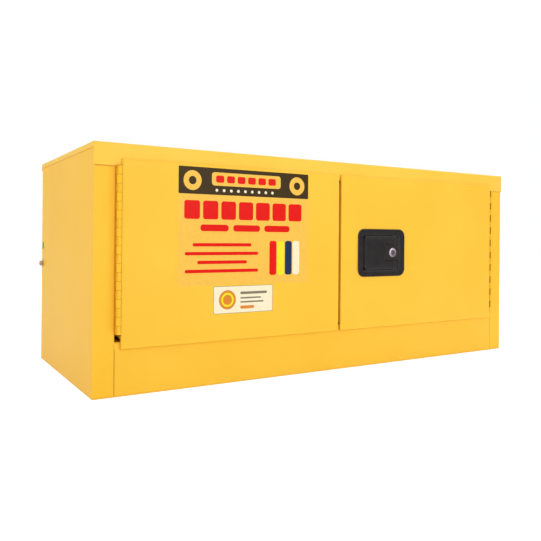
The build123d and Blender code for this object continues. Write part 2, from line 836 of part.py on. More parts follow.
# Stud on which the drive hub turns.
with BuildPart() as hub_stud:
    with BuildSketch(across(case_y)):
        with Locations((hub_x, bezel_z)):
            Circle(hub_bore_radius - running)
    extrude(amount=-(layer_gap + drive_plate + clear))
    with BuildSketch(across(hub_y + drive_plate + clear)):
        with Locations((hub_x, bezel_z)):
            Circle(hub_stud_head_radius)
    extrude(amount=-case_plate)
finish(hub_stud, "hub_stud")

# Hub with four arms: upper rod, lower rod, centre bolt and link.
arm_ends = [
    (hub_x - arm_x, bezel_z + arm_z),
    (hub_x + arm_x, bezel_z - arm_z),
    (hub_x - arm_z, bezel_z - arm_x),
    (link_pin_x, link_pin_z),
]
with BuildPart() as drive_hub:
    with BuildSketch(across(hub_y)):
        with Locations((hub_x, bezel_z)):
            Circle(hub_radius)
        for end in arm_ends:
            SlotCenterPoint(((hub_x + end[0]) / 2, (bezel_z + end[1]) / 2), end, 2 * arm_end_radius)
        with Locations((hub_x, bezel_z)):
            Circle(hub_bore_radius, mode=Mode.SUBTRACT)
    extrude(amount=-drive_plate)
finish(drive_hub, "drive_hub")

with BuildPart() as drive_pins:
    with BuildSketch(across(hub_y + drive_plate)):
        with Locations(*arm_ends[:3]):
            Circle(drive_pin_radius)
    extrude(amount=-(layer_gap + drive_plate + layer_gap / 2))
    with BuildSketch(across(hub_y + drive_plate)):
        with Locations(arm_ends[3]):
            Circle(drive_pin_radius)
    extrude(amount=-2 * (layer_gap + drive_plate))
finish(drive_pins, "drive_pins")

# Rods: flat bars with a cross slot at the hub and a rounded nose at the frame.
slot_half = drive_pin_radius + slot_clear


def rod(x, pin_z, tip_z):
    """Vertical rod from the hub's pin to its tip at the frame."""
    toward = 1 if tip_z > pin_z else -1
    tail = pin_z - toward * rod_end
    drift = pin_drift if x > hub_x else -pin_drift
    with BuildPart() as bar:
        with BuildSketch(across(rod_y)):
            with Locations((x, (tail + tip_z) / 2)):
                Rectangle(rod_width, abs(tip_z - tail))
            fillet(vertices().group_by(Axis.Y)[-1 if toward > 0 else 0], rod_nose_radius)
            with Locations((x + drift / 2, pin_z)):
                SlotOverall(2 * slot_half + pin_drift, 2 * slot_half, mode=Mode.SUBTRACT)
        extrude(amount=-drive_plate)
    return bar.part


with BuildPart() as upper_rod:
    add(rod(upper_rod_x, arm_ends[0][1], opening_top - clear))
finish(upper_rod, "upper_rod")

with BuildPart() as lower_rod:
    add(rod(lower_rod_x, arm_ends[1][1], opening_bottom + clear))
finish(lower_rod, "lower_rod")

# Centre bolt: runs to the door's free edge, driven by the arm that points down.
bolt_pin_x = arm_ends[2][0]
bolt_tail_x = bolt_pin_x + bolt_end
bolt_nose_x = door_free_x + clear
with BuildPart() as centre_bolt:
    with BuildSketch(across(rod_y)):
        with Locations(((bolt_nose_x + bolt_tail_x) / 2, bolt_z)):
            Rectangle(bolt_tail_x - bolt_nose_x, bolt_height)
        fillet(vertices().group_by(Axis.X)[0].sort_by(Axis.Y)[0], bolt_nose_radius)
        with Locations((bolt_pin_x, bolt_z)):
            SlotOverall(2 * slot_half + pin_drift, 2 * slot_half, rotation=90, mode=Mode.SUBTRACT)
    extrude(amount=-drive_plate)
finish(centre_bolt, "centre_bolt")

# Link from the paddle's tail to the hub, cranked up to the tail's level.
window = (tail_width + 2 * link_window_clear, tail_height + 2 * clear)
link_z = (link_pin_z + bezel_z + link_arm) / 2
with BuildPart() as drive_link:
    with BuildSketch(across(link_y)):
        SlotCenterPoint(((link_pin_x + paddle_x) / 2, (link_z + tail_z) / 2), (paddle_x, tail_z), link_height)
        with Locations((paddle_x, tail_z)):
            RectangleRounded(window[0] + 2 * link_rim, window[1] + 2 * link_rim, link_rim)
            Rectangle(*window, mode=Mode.SUBTRACT)
        with Locations((link_pin_x, link_z)):
            SlotOverall(2 * slot_half + link_arm * (1 - cos(half_turn)), 2 * slot_half, rotation=90,
                        mode=Mode.SUBTRACT)
    extrude(amount=-drive_plate)
finish(drive_link, "drive_link")

# Keepers on the inner tray that guide the two rods and the bolt.
keeper_front_y = rod_y - guide_wall / 2


def keeper(plane, bar_width):
    """Guide block for a bar that runs along the plane's normal; the plane's Y points to the back."""
    with BuildPart() as block:
        with BuildSketch(plane):
            with Locations((0, (keeper_front_y + tray_y) / 2)):
                Rectangle(bar_width + 2 * guide_wall, tray_y - keeper_front_y)
            with Locations((0, rod_middle_y)):
                Rectangle(bar_width + 2 * slot_clear, drive_plate + 2 * slot_clear, mode=Mode.SUBTRACT)
        extrude(amount=guide_length / 2, both=True)
    return block.part


with BuildPart() as rod_guides:
    add(keeper(Plane((upper_rod_x, 0, tray_top - guide_offset)), rod_width))
    add(keeper(Plane((lower_rod_x, 0, tray_bottom + guide_offset)), rod_width))
    add(keeper(Plane((door_free_x + bolt_guide_offset, 0, bolt_z), x_dir=(0, 0, 1), z_dir=(-1, 0, 0)),
               bolt_height))
finish(rod_guides, "rod_guides")

# ---------------------------------------------------------------- lock
lock_back_y = case_y + lock_nut_height + layer_gap
with BuildPart() as lock_cylinder:
    with BuildSketch(across(boss_y)):
        with Locations((lock_x, bezel_z)):
            Circle(lock_flange_radius)
    extrude(amount=lock_flange)
    chamfer(edges().group_by(Axis.Y)[0], lock_chamfer)
    with BuildSketch(across(boss_y)):
        with Locations((lock_x, bezel_z)):
            Circle(lock_radius)
    extrude(amount=boss_y - lock_back_y)
    with BuildSketch(across(lock_back_y)):
        with Locations((lock_x, bezel_z)):
            Circle(plug_radius + running)
    extrude(amount=lock_back_y - boss_y + lock_flange, mode=Mode.SUBTRACT)
finish(lock_cylinder, "lock_cylinder")

with BuildPart() as lock_nut:
    with BuildSketch(across(case_y)):
        with Locations((lock_x, bezel_z)):
            RegularPolygon(lock_nut_flats / 2, 6, major_radius=False)
            Circle(lock_radius + running, mode=Mode.SUBTRACT)
    extrude(amount=-lock_nut_height)
finish(lock_nut, "lock_nut")

plug_front_y = boss_y - lock_flange - plug_proud
plug_back_y = lock_back_y + clear
with BuildPart() as lock_plug:
    with BuildSketch(across(plug_front_y)):
        with Locations((lock_x, bezel_z)):
            Circle(plug_radius)
    extrude(amount=plug_front_y - plug_back_y)
    chamfer(edges().group_by(Axis.Y)[0], plug_chamfer)
    with BuildSketch(across(plug_front_y)):
        with Locations((lock_x, bezel_z)):
            Rectangle(keyway_width, keyway_height)
    extrude(amount=-keyway_depth, mode=Mode.SUBTRACT)
finish(lock_plug, "lock_plug")

with BuildPart() as lock_cam:
    with BuildSketch(across(plug_back_y)):
        with Locations((lock_x, bezel_z)):
            Circle(cam_radius)
        SlotCenterPoint((lock_x, bezel_z - (cam_length - cam_radius) / 2),
                        (lock_x, bezel_z - cam_length + cam_radius), 2 * cam_radius)
    extrude(amount=-cam_thickness)
finish(lock_cam, "lock_cam")

# ---------------------------------------------------------------- vents
with BuildPart() as vent_collars:
    with BuildSketch(across(rear_y)):
        with Locations(*vents):
            Circle(vent_flange_radius)
    extrude(amount=-vent_flange)
    with BuildSketch(across(liner_y - vent_nut)):
        with Locations(*vents):
            Circle(vent_pipe_radius)
    extrude(amount=liner_y - vent_nut - rear_y)
    with BuildSketch(across(liner_y - vent_nut)):
        with Locations(*vents):
            Circle(vent_bore_radius)
    extrude(amount=liner_y - vent_nut - rear_y - vent_flange, mode=Mode.SUBTRACT)
finish(vent_collars, "vent_collars")

with BuildPart() as vent_locknuts:
    with BuildSketch(across(liner_y - vent_nut)):
        with Locations(*vents):
            RegularPolygon(vent_nut_radius, 6, major_radius=False)
            Circle(vent_pipe_radius, mode=Mode.SUBTRACT)
    extrude(amount=-vent_nut)
finish(vent_locknuts, "vent_locknuts")

# Grids inside the collars that stop a flame.
with BuildPart() as flame_arresters:
    with BuildSketch(across(liner_y)):
        with Locations(*vents):
            Circle(vent_bore_radius - running)
            with GridLocations(arrester_pitch, arrester_pitch, arrester_rows, arrester_rows):
                Rectangle(arrester_hole, arrester_hole, mode=Mode.SUBTRACT)
    extrude(amount=-arrester)
finish(flame_arresters, "flame_arresters")


def vent_cap(x, z):
    """Threaded cap: a hollow plug with a rim and a square head for a wrench."""
    collar_back_y = rear_y + vent_flange
    rim_y = collar_back_y + clear
    with BuildPart() as cap:
        with BuildSketch(across(rim_y)):
            with Locations((x, z)):
                Circle(cap_radius)
        extrude(amount=-cap_rim)
        chamfer(edges().group_by(Axis.Y)[-1], cap_chamfer)
        with BuildSketch(across(rim_y)):
            with Locations((x, z)):
                Circle(vent_bore_radius - running)
                Circle(vent_bore_radius - running - cap_wall, mode=Mode.SUBTRACT)
        extrude(amount=cap_plug_length)
        with BuildSketch(across(rim_y + cap_rim)):
            with Locations((x, z)):
                RectangleRounded(cap_head_size, cap_head_size, cap_wall)
        extrude(amount=-cap_head)
    return cap.part


with BuildPart() as upper_vent_cap:
    add(vent_cap(*vents[0]))
finish(upper_vent_cap, "upper_vent_cap")

with BuildPart() as lower_vent_cap:
    add(vent_cap(*vents[1]))
finish(lower_vent_cap, "lower_vent_cap")

# ---------------------------------------------------------------- ground stud
with BuildPart() as ground_bolt:
    with BuildSketch(Plane.YZ.offset(sheet - inner_wall_x)):
        with Locations((ground_y, ground_level)):
            RegularPolygon(ground_nut_flats / 2, 6, major_radius=False)
    extrude(amount=ground_head)
    with BuildSketch(Plane.YZ.offset(sheet - inner_wall_x)):
        with Locations((ground_y, ground_level)):
            Circle(ground_radius)
    extrude(amount=-2 * sheet - ground_reach)
    chamfer(edges().group_by(Axis.X)[0], ground_chamfer)
finish(ground_bolt, "ground_bolt")

with BuildPart() as ground_washer:
    with BuildSketch(Plane.YZ.offset(-wall_x)):
        with Locations((ground_y, ground_level)):
            Circle(ground_washer_radius)
            Circle(ground_radius + running, mode=Mode.SUBTRACT)
    extrude(amount=-ground_washer_thickness)
finish(ground_washer, "ground_washer")

with BuildPart() as ground_nut:
    with BuildSketch(Plane.YZ.offset(-wall_x - ground_washer_thickness)):
        with Locations((ground_y, ground_level)):
            RegularPolygon(ground_nut_flats / 2, 6, major_radius=False)
            Circle(ground_radius + running, mode=Mode.SUBTRACT)
    extrude(amount=-ground_nut_height)
finish(ground_nut, "ground_nut")
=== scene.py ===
import json
from math import cos, pi, radians, sin

import bmesh
import bpy
from mathutils import Matrix, Vector


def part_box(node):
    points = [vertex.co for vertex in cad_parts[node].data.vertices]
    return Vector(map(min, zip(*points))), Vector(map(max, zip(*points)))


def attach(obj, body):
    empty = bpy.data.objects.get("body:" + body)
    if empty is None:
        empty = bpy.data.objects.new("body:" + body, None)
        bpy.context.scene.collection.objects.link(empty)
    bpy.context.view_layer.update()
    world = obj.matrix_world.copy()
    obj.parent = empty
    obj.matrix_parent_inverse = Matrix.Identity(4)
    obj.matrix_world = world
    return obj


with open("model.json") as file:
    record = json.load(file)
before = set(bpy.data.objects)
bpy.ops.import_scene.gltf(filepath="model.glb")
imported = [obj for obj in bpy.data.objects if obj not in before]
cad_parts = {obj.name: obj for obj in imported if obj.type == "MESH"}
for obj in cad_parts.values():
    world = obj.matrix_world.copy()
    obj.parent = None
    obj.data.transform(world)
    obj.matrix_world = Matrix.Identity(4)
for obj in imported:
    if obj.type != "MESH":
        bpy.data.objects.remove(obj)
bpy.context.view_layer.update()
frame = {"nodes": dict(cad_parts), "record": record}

# Flammable storage cabinet. The CAD parts get their finishes. Seam films, mostly painted shade, two
# labels, an earth mark, the floor, the lamps and the camera are added. Lengths are in metres, in the
# CAD model's frame.
MM = 0.001
scene = bpy.context.scene


# ---------------------------------------------------------------- colours
def srgb(red, green, blue):
    """Linear colour of an 8-bit sRGB one."""
    channels = []
    for value in (red, green, blue):
        value /= 255
        channels.append(value / 12.92 if value <= 0.04045 else ((value + 0.055) / 1.055) ** 2.4)
    return (*channels, 1)


YELLOW = srgb(249, 196, 56)
YELLOW_LIGHT = srgb(252, 200, 62)
# Painted shade that the paint turns to in its creases.
CREASE_SHADE = srgb(228, 158, 30)
# Painted light: the side panels and posts carry their own copy of the paint, tinted for how the lamps
# light them.
SIDE_LIT_YELLOW = srgb(252, 196, 50)
SIDE_LIT_PALE = srgb(254, 200, 56)
POST_SHADE = srgb(240, 180, 36)
# Painted shade: the seam line below the doors on each post.
SEAM_SHADE = srgb(222, 168, 42)
# Painted highlight: the top cap carries a paler copy of the paint, for the sheen along its front.
CAP_HIGHLIGHT_YELLOW = srgb(250, 202, 70)
CAP_HIGHLIGHT_PALE = srgb(253, 206, 76)
# Painted shadow: the line under the top cap's skirt on the posts.
CAP_SHADOW_LINE = srgb(226, 162, 34)
# Painted shade: the line on each post beside its hinge barrel.
HINGE_SHADOW_LINE = srgb(206, 146, 30)
# Painted shade on the hinge knuckles' left flanks, darkest on the right frame leaf, and painted shadow
# lines at their joints.
HINGE_SHADE = srgb(228, 168, 38)
HINGE_SOFT_SHADE = srgb(246, 190, 50)
HINGE_DARK = srgb(132, 72, 2)
KNUCKLE_SHADOW_LINE = srgb(180, 118, 20)
# Painted shade: the hinge pins are dark, for the shade between the knuckles.
PIN_SHADE = srgb(116, 60, 6)
PIN_SHADE_PALE = srgb(124, 66, 8)
BLACK = srgb(30, 27, 28)
BLACK_LIGHT = srgb(36, 33, 34)
# Painted fill light in the recesses of the black plastic.
BLACK_FILL_LIGHT = srgb(122, 114, 118)
STEEL = srgb(200, 200, 204)
BRASS = srgb(206, 178, 120)
DULL_BRASS = srgb(204, 190, 164)
NICKEL = srgb(214, 204, 210)
NICKEL_SHADE = srgb(104, 92, 100)
PLUG_NICKEL = srgb(112, 98, 104)
NYLON = srgb(214, 208, 190)
NYLON_LIGHT = srgb(226, 222, 208)
LABEL_GROUND = srgb(250, 197, 82)
LABEL_BAND = srgb(60, 44, 12)
LABEL_RED = srgb(230, 20, 10)
LABEL_BLUE = srgb(24, 46, 84)
LABEL_WHITE = srgb(250, 240, 208)
LABEL_GOLD = srgb(246, 232, 40)
LABEL_ORANGE = srgb(222, 138, 52)
LABEL_GREY = srgb(132, 124, 104)
EARTH_GREEN = srgb(84, 120, 40)
EARTH_PALE = srgb(128, 156, 72)
FLOOR = srgb(244, 244, 244)
FLOOR_SHADED = (0.35, 0.35, 0.35, 1)
WHITE = (1, 1, 1, 1)


# ---------------------------------------------------------------- materials
# Specular levels, and the ranges that the roughness varies in.
PAINT_SHEEN = 0.20
HINGE_SHEEN = 0.04
MATT_SHEEN = 0.12
PAINT_ROUGHNESS = (0.42, 0.50)
HINGE_ROUGHNESS = 0.46
PLASTIC_ROUGHNESS = (0.42, 0.52)
VINYL_ROUGHNESS = (0.34, 0.42)
NICKEL_ROUGHNESS = (0.26, 0.36)

PAINT_EDGE = 0.7 * MM
PEEL_DEPTH = 0.03 * MM
METAL_DEPTH = 0.004 * MM
KNUCKLES = 19
KNUCKLE_JOINT = 1.1 * MM


class Finish:
    """Node material on object coordinates, built up by its methods."""

    def __init__(self, name, roughness, metallic=0.0, specular=0.5):
        self.material = bpy.data.materials.new(name)
        self.material.use_nodes = True
        self.nodes = self.material.node_tree.nodes
        self.links = self.material.node_tree.links
        self.shader = self.nodes["Principled BSDF"]
        self.shader.inputs["Roughness"].default_value = roughness
        self.shader.inputs["Metallic"].default_value = metallic
        self.shader.inputs["Specular IOR Level"].default_value = specular
        self.coordinates = self.nodes.new("ShaderNodeTexCoord")
        self.normal = None

    def stretched(self, scale):
        """Object coordinates stretched by a scale for each axis."""
        mapping = self.nodes.new("ShaderNodeMapping")
        mapping.inputs["Scale"].default_value = scale
        self.links.new(self.coordinates.outputs["Object"], mapping.inputs["Vector"])
        return mapping.outputs["Vector"]

    def noise(self, cells, detail=2.0, stretch=(1, 1, 1)):
        """Value of a noise texture with so many cells to the metre."""
        noise = self.nodes.new("ShaderNodeTexNoise")
        noise.inputs["Scale"].default_value = cells
        noise.inputs["Detail"].default_value = detail
        self.links.new(self.stretched(stretch), noise.inputs["Vector"])
        return noise.outputs["Fac"]

    def along(self, direction, start, stop):
        """How far a point lies along a direction: 0 at the start and 1 at the stop, in metres."""
        product = self.nodes.new("ShaderNodeVectorMath")
        product.operation = "DOT_PRODUCT"
        product.inputs[1].default_value = direction
        self.links.new(self.coordinates.outputs["Object"], product.inputs[0])
        spread = self.nodes.new("ShaderNodeMapRange")
        spread.inputs["From Min"].default_value = start
        spread.inputs["From Max"].default_value = stop
        self.links.new(product.outputs["Value"], spread.inputs["Value"])
        return spread.outputs["Result"]

    def joints(self, bottom, pitch, width):
        """0 at levels a pitch apart from the bottom up, and 1 from half the width away."""
        height = self.nodes.new("ShaderNodeSeparateXYZ")
        self.links.new(self.coordinates.outputs["Object"], height.inputs[0])
        above = self.nodes.new("ShaderNodeMath")
        above.operation = "SUBTRACT"
        above.inputs[1].default_value = bottom
        self.links.new(height.outputs["Z"], above.inputs[0])
        nearest = self.nodes.new("ShaderNodeMath")
        nearest.operation = "PINGPONG"
        nearest.inputs[1].default_value = pitch / 2
        self.links.new(above.outputs[0], nearest.inputs[0])
        spread = self.nodes.new("ShaderNodeMapRange")
        spread.inputs["From Max"].default_value = width / 2
        self.links.new(nearest.outputs[0], spread.inputs["Value"])
        return spread.outputs["Result"]

    def openness(self, reach):
        """1 on an open face, less where other faces stand closer than the reach."""
        around = self.nodes.new("ShaderNodeAmbientOcclusion")
        around.samples = 12
        around.inputs["Distance"].default_value = reach
        return around.outputs["AO"]

    def mix(self, value, low, high):
        """Colour that goes from low to high, each a colour or a socket, with the value."""
        mix = self.nodes.new("ShaderNodeMix")
        mix.data_type = "RGBA"
        self.links.new(value, mix.inputs["Factor"])
        # A Mix node has one A, B and Result for each data type; these are the colour ones.
        for socket, given in ((mix.inputs[6], low), (mix.inputs[7], high)):
            if isinstance(given, tuple):
                socket.default_value = given
            else:
                self.links.new(given, socket)
        return mix.outputs[2]

    def blend(self, value, low, high):
        """Colour that goes from low to high over the middle third of the value."""
        ramp = self.nodes.new("ShaderNodeValToRGB")
        for element, position, colour in zip(ramp.color_ramp.elements, (0.35, 0.65), (low, high)):
            element.position = position
            element.color = colour
        self.links.new(value, ramp.inputs["Fac"])
        return ramp.outputs["Color"]

    def spread(self, value, low, high):
        """The value, from 0 to 1, taken to the range from low to high."""
        spread = self.nodes.new("ShaderNodeMapRange")
        spread.inputs["To Min"].default_value = low
        spread.inputs["To Max"].default_value = high
        self.links.new(value, spread.inputs["Value"])
        return spread.outputs["Result"]

    def colour(self, socket):
        """Base colour from a socket."""
        self.links.new(socket, self.shader.inputs["Base Color"])

    def gloss(self, value, low, high):
        """Roughness that goes from low to high with the value."""
        self.links.new(self.spread(value, low, high), self.shader.inputs["Roughness"])

    def rounded(self, radius):
        """Shading as if the edges were rounded off."""
        edge = self.nodes.new("ShaderNodeBevel")
        edge.samples = 6
        edge.inputs["Radius"].default_value = radius
        self.normal = edge.outputs["Normal"]

    def bumps(self, *layers):
        """The finished material, with bumps of (value, depth) layers, one on top of the other."""
        normal = self.normal
        for value, depth in layers:
            bump = self.nodes.new("ShaderNodeBump")
            bump.inputs["Strength"].default_value = 1.0
            bump.inputs["Distance"].default_value = depth
            self.links.new(value, bump.inputs["Height"])
            if normal:
                self.links.new(normal, bump.inputs["Normal"])
            normal = bump.outputs["Normal"]
        self.links.new(normal, self.shader.inputs["Normal"])
        return self.material


def darker(colour, share):
    """The colour with each channel brought down to a share."""
    return (*(share * channel for channel in colour[:3]), 1)


def powder_coat(name, low, high, creases=True, edge=PAINT_EDGE, shade=()):
    """Baked powder paint: faint cloudiness, a fine orange peel, and painted shade in creases.

    A shade, given as a start and a stop along x and along z, turns the paint to POST_SHADE past them.
    """
    finish = Finish(name, PAINT_ROUGHNESS[0], specular=PAINT_SHEEN)
    paint_colour = finish.blend(finish.noise(cells=5.0), low, high)
    if shade:
        across, upward = shade
        shaded = finish.mix(finish.along((0, 0, 1), *upward), paint_colour, POST_SHADE)
        paint_colour = finish.mix(finish.along((1, 0, 0), *across), paint_colour, shaded)
    if creases:
        # Painted shade: the paint darkens in creases, where other faces stand close.
        paint_colour = finish.mix(finish.openness(reach=5 * MM), CREASE_SHADE, paint_colour)
    finish.colour(paint_colour)
    finish.gloss(finish.noise(cells=9.0), *PAINT_ROUGHNESS)
    if edge:
        finish.rounded(edge)
    peel = finish.noise(cells=420.0)
    swell = finish.noise(cells=38.0)
    return finish.bumps((peel, PEEL_DEPTH), (swell, 2 * PEEL_DEPTH))


def knuckle_coat(node, shade, reach):
    """Hinge paint: in shade on the left flank of a leaf's knuckles and in the joints between them."""
    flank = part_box(node)[0].x
    low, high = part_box("left_hinge_pin")
    pitch = (high.z - low.z) / KNUCKLES
    finish = Finish(f"{node}_paint", HINGE_ROUGHNESS, specular=HINGE_SHEEN)
    cloudy = finish.blend(finish.noise(cells=5.0), YELLOW, YELLOW_LIGHT)
    shaded = finish.mix(finish.along((1, 0, 0), flank, flank + reach), shade, cloudy)
    finish.colour(finish.mix(finish.joints(low.z, pitch, KNUCKLE_JOINT), KNUCKLE_SHADOW_LINE, shaded))
    peel = finish.noise(cells=420.0)
    return finish.bumps((peel, PEEL_DEPTH))


def moulding(name, low, high, fill_light, roughness=PLASTIC_ROUGHNESS):
    """Moulded plastic with a fine spark-eroded grain, and painted fill light: a paler colour in its
    recesses.
    """
    finish = Finish(name, roughness[0], specular=MATT_SHEEN)
    mottled = finish.blend(finish.noise(cells=60.0), low, high)
    # Painted light: recesses turn paler, as fill light would make them.
    finish.colour(finish.mix(finish.openness(reach=16 * MM), fill_light, mottled))
    finish.gloss(finish.noise(cells=90.0), *roughness)
    finish.rounded(radius=0.8 * MM)
    grain = finish.noise(cells=2600.0, detail=3.0)
    return finish.bumps((grain, 0.02 * MM))


def brushed_metal(name, tint, stretch, roughness=(0.22, 0.4), crease_share=0.25):
    """Plated metal, brushed along the axis with the low stretch. Painted shade in creases keeps a share
    of the tint.
    """
    finish = Finish(name, roughness[0], metallic=1.0)
    lines = finish.noise(cells=260.0, detail=4.0, stretch=stretch)
    brushed = finish.blend(lines, darker(tint, 0.82), tint)
    # Painted shade: the tint darkens in creases, where other faces stand close.
    finish.colour(finish.mix(finish.openness(reach=8 * MM), darker(tint, crease_share), brushed))
    finish.gloss(lines, *roughness)
    return finish.bumps((lines, METAL_DEPTH))


def satin_nickel(name, node):
    """Nickel plate on a node, light at its upper left and shaded at its lower right."""
    low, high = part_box(node)
    slope = Vector((-1, 0, 1)).normalized()
    middle = slope.dot((low + high) / 2)
    reach = (high.z - low.z) / 2
    finish = Finish(name, NICKEL_ROUGHNESS[0], metallic=1.0)
    finish.colour(finish.mix(finish.along(slope, middle - reach, middle + reach), NICKEL_SHADE, NICKEL))
    finish.gloss(finish.noise(cells=120.0), *NICKEL_ROUGHNESS)
    finish.rounded(radius=0.4 * MM)
    grain = finish.noise(cells=900.0)
    return finish.bumps((grain, METAL_DEPTH))


def vinyl(name, tint):
    """Printed film: flat ink with a slight unevenness."""
    finish = Finish(name, VINYL_ROUGHNESS[0], specular=MATT_SHEEN)
    finish.colour(finish.blend(finish.noise(cells=160.0), darker(tint, 0.96), tint))
    finish.gloss(finish.noise(cells=45.0), *VINYL_ROUGHNESS)
    ripple = finish.noise(cells=220.0)
    return finish.bumps((ripple, 0.01 * MM))


EVEN = (1, 1, 1)
paint = powder_coat("yellow_powder_coat", YELLOW, YELLOW_LIGHT)
black_plastic = moulding("black_moulded_plastic", BLACK, BLACK_LIGHT, BLACK_FILL_LIGHT)
nylon = moulding("natural_nylon", NYLON, NYLON_LIGHT, NYLON_LIGHT, (0.35, 0.45))
zinc = brushed_metal("zinc_plated_steel", STEEL, (0.1, 1, 1))
galvanised = brushed_metal("galvanised_steel", STEEL, (1, 1, 0.1), (0.35, 0.5))
dull_brass = brushed_metal("dull_brass", DULL_BRASS, EVEN, (0.35, 0.5), crease_share=0.6)
plug_nickel = brushed_metal("plug_nickel", PLUG_NICKEL, EVEN, (0.3, 0.4))
filler_paint = powder_coat("filler_paint", YELLOW, YELLOW_LIGHT, edge=0)
bead_paint = powder_coat("bead_paint", YELLOW, YELLOW_LIGHT, creases=False, edge=0)
# Painted shade in the seams below the doors.
seam_shade_paint = powder_coat("seam_shade_paint", SEAM_SHADE, SEAM_SHADE, edge=0)
# Painted shadow under the top cap's skirt.
cap_shadow_paint = powder_coat("cap_shadow_paint", CAP_SHADOW_LINE, CAP_SHADOW_LINE, edge=0)
# Painted shade beside the hinge barrels.
hinge_shadow_paint = powder_coat("hinge_shadow_paint", HINGE_SHADOW_LINE, HINGE_SHADOW_LINE, edge=0)
# Painted shade on the hinge pins.
pin_shade_paint = powder_coat("hinge_pin_shade", PIN_SHADE, PIN_SHADE_PALE)
brass = brushed_metal("brass", BRASS, EVEN, (0.25, 0.4))
# Painted light: the side panels' copy of the paint, tinted for how light falls on them.
side_paint = powder_coat("side_paint", SIDE_LIT_YELLOW, SIDE_LIT_PALE)
door_paint = powder_coat("door_paint", YELLOW, YELLOW_LIGHT, creases=False)

# The left post is in shade beside its hinge, fully from 3 mm off it and 14 mm above its foot.
hinge_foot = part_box("left_frame_leaf")[0]
shade_across = (hinge_foot.x - 17 * MM, hinge_foot.x - 3 * MM)
shade_upward = (hinge_foot.z, hinge_foot.z + 14 * MM)
left_side_paint = powder_coat(
    "left_side_paint", SIDE_LIT_YELLOW, SIDE_LIT_PALE, shade=(shade_across, shade_upward))

SLOT_FINISHES = {
    "yellow_paint": paint,
    "black_moulding": black_plastic,
    "plated_steel": zinc,
    "zinc_steel": galvanised,
    "guide_plastic": nylon,
    "brass_hardware": brass,
}
NODE_FINISHES = {
    "left_side_panel": left_side_paint,
    "right_side_panel": side_paint,
    "left_door_shell": door_paint,
    "right_door_shell": door_paint,
    "lock_cylinder": satin_nickel("lock_nickel", "lock_cylinder"),
    "lock_plug": plug_nickel,
    # Painted highlight: paler paint on the top cap.
    "top_cap": powder_coat("cap_highlight_paint", CAP_HIGHLIGHT_YELLOW, CAP_HIGHLIGHT_PALE, creases=False),
    "ground_bolt": dull_brass,
    "ground_washer": dull_brass,
    "ground_nut": dull_brass,
    "left_hinge_pin": pin_shade_paint,
    "right_hinge_pin": pin_shade_paint,
    "left_frame_leaf": knuckle_coat("left_frame_leaf", HINGE_SHADE, 3.4 * MM),
    "left_door_leaf": knuckle_coat("left_door_leaf", HINGE_SOFT_SHADE, 3.0 * MM),
    "right_frame_leaf": knuckle_coat("right_frame_leaf", HINGE_DARK, 2.4 * MM),
    "right_door_leaf": knuckle_coat("right_door_leaf", HINGE_SHADE, 2.4 * MM),
}

slots = {row["node"]: row["material_slot"] for row in frame["record"]["subparts"]}
for node, piece in frame["nodes"].items():
    finish = NODE_FINISHES.get(node, SLOT_FINISHES[slots[node]])
    if not piece.material_slots:
        piece.data.materials.append(finish)
    for place in piece.material_slots:
        place.material = finish


# ---------------------------------------------------------------- films
TO_FRONT = (0, -1, 0)
TO_LEFT = (-1, 0, 0)
UP = Vector((0, 0, 1))
CORNER_STEPS = 6


def rounded_outline(width, height, radius):
    """Corners of a rounded rectangle about the origin, anticlockwise."""
    outline = []
    for corner, (i, j) in enumerate(((1, 1), (-1, 1), (-1, -1), (1, -1))):
        centre = Vector((i * (width / 2 - radius), j * (height / 2 - radius)))
        for step in range(CORNER_STEPS + 1):
            angle = (corner + step / CORNER_STEPS) * pi / 2
            outline.append(centre + radius * Vector((cos(angle), sin(angle))))
    return outline


def film(name, outline, thickness, place, facing, material, body):
    """Thin film of paint or print that rides on a body, with its back at a place, facing one way."""
    facing = Vector(facing)
    axes = Matrix((UP.cross(facing), UP, facing)).transposed()
    shape = bmesh.new()
    base = [shape.verts.new(place + axes @ Vector((p.x, p.y, 0))) for p in outline]
    top = [shape.verts.new(place + axes @ Vector((p.x, p.y, thickness))) for p in outline]
    count = len(outline)
    shape.faces.new(top)
    shape.faces.new(base[::-1])
    for i in range(count):
        j = (i + 1) % count
        shape.faces.new((base[i], base[j], top[j], top[i]))
    mesh = bpy.data.meshes.new(name)
    shape.to_mesh(mesh)
    shape.free()
    mesh.materials.append(material)
    piece = bpy.data.objects.new(name, mesh)
    scene.collection.objects.link(piece)
    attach(piece, body)


# ---------------------------------------------------------------- labels
door_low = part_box("left_door_shell")[0]
FILM = 0.10 * MM
LAYER = 0.06 * MM
label_inks = {
    "ground": vinyl("label_ground", LABEL_GROUND),
    "band": vinyl("label_band", LABEL_BAND),
    "red": vinyl("label_red", LABEL_RED),
    "blue": vinyl("label_blue", LABEL_BLUE),
    "white": vinyl("label_white", LABEL_WHITE),
    "gold": vinyl("label_gold", LABEL_GOLD),
    "orange": vinyl("label_orange", LABEL_ORANGE),
    "grey": vinyl("label_grey", LABEL_GREY),
}


